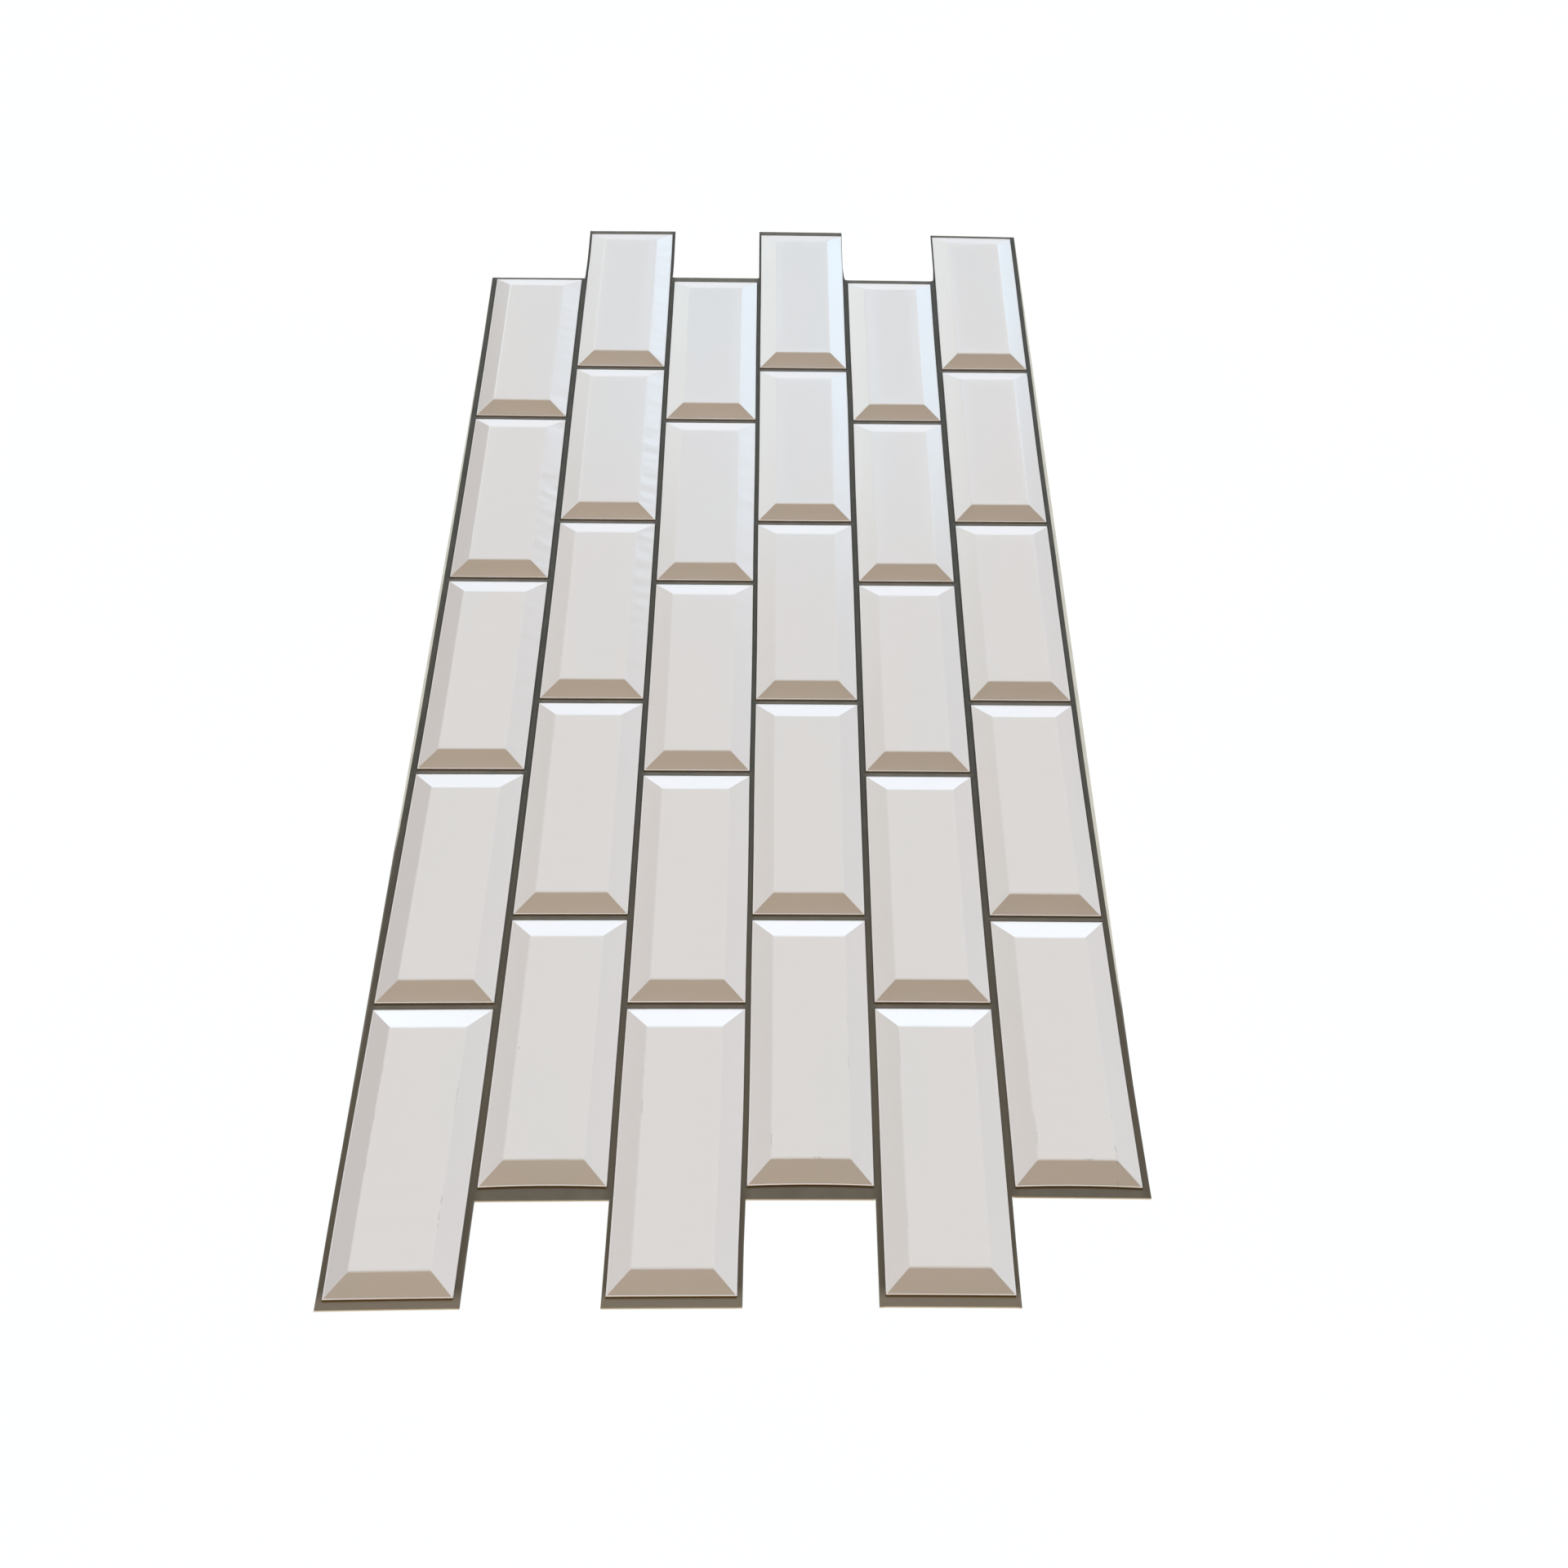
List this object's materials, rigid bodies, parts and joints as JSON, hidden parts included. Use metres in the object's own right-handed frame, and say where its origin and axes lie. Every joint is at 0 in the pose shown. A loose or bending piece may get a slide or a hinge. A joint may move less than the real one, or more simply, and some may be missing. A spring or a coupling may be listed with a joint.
{
  "type": "pvc wall panel",
  "caption": "Thin thermoformed PVC wall panel with staggered bevelled tiles on dark joints and toothed ends that interlock with the next panel.",
  "frame": {"origin": "under the middle of the panel, on the plane of its back", "axes": "+Z out of the tiled face, +Y along the length towards the end whose odd columns stand out, +X across the width"},
  "size_m": [0.484, 0.966, 0.0064],
  "materials": {
    "printed_pvc": "semi-gloss white tiles with printed grey-brown joints"
  },
  "bodies": {
    "root": {"panel_sheet": "printed_pvc"}
  },
  "joints": []
}
